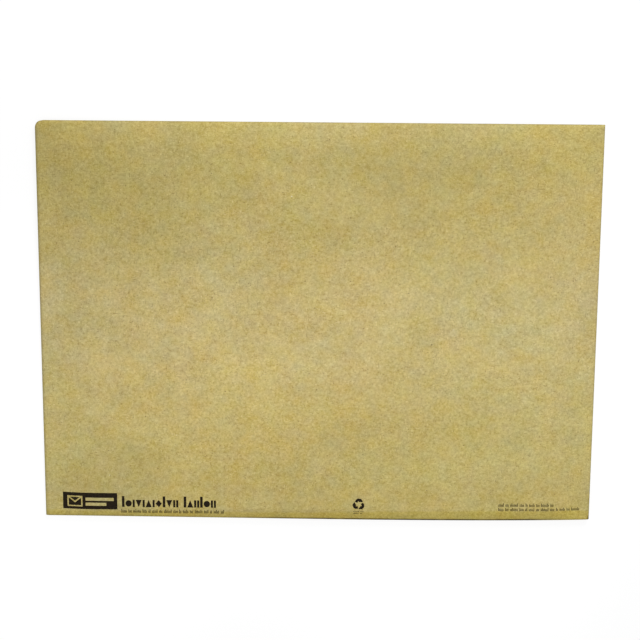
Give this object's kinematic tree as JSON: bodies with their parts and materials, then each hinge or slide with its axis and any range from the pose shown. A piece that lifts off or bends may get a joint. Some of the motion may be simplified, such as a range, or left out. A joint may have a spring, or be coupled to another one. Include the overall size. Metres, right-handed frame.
{
  "type": "padded envelope",
  "caption": "Flat kraft-paper mailing envelope with a paper-wadding padding, a lapped back seam, a glued bottom tuck and a self-seal flap folded under.",
  "frame": {"origin": "middle of the outline, on the surface that the envelope lies on", "axes": "+X along the long side, from the mouth and flap to the glued bottom end; +Y across the front; +Z out of the front face"},
  "size_m": [0.362, 0.2684, 0.0087],
  "materials": {
    "kraft_paper": "matt recycled kraft paper with fine fibres",
    "paper_wadding": "soft macerated paper fibre",
    "liner_paper": "thin smooth kraft paper",
    "adhesive": "tacky hot-melt band",
    "release_paper": "smooth coated paper"
  },
  "bodies": {
    "root": {"outer_wrapper": "kraft_paper", "padding": "paper_wadding", "inner_liner": "liner_paper", "adhesive_strip": "adhesive", "release_liner": "release_paper"}
  },
  "joints": []
}
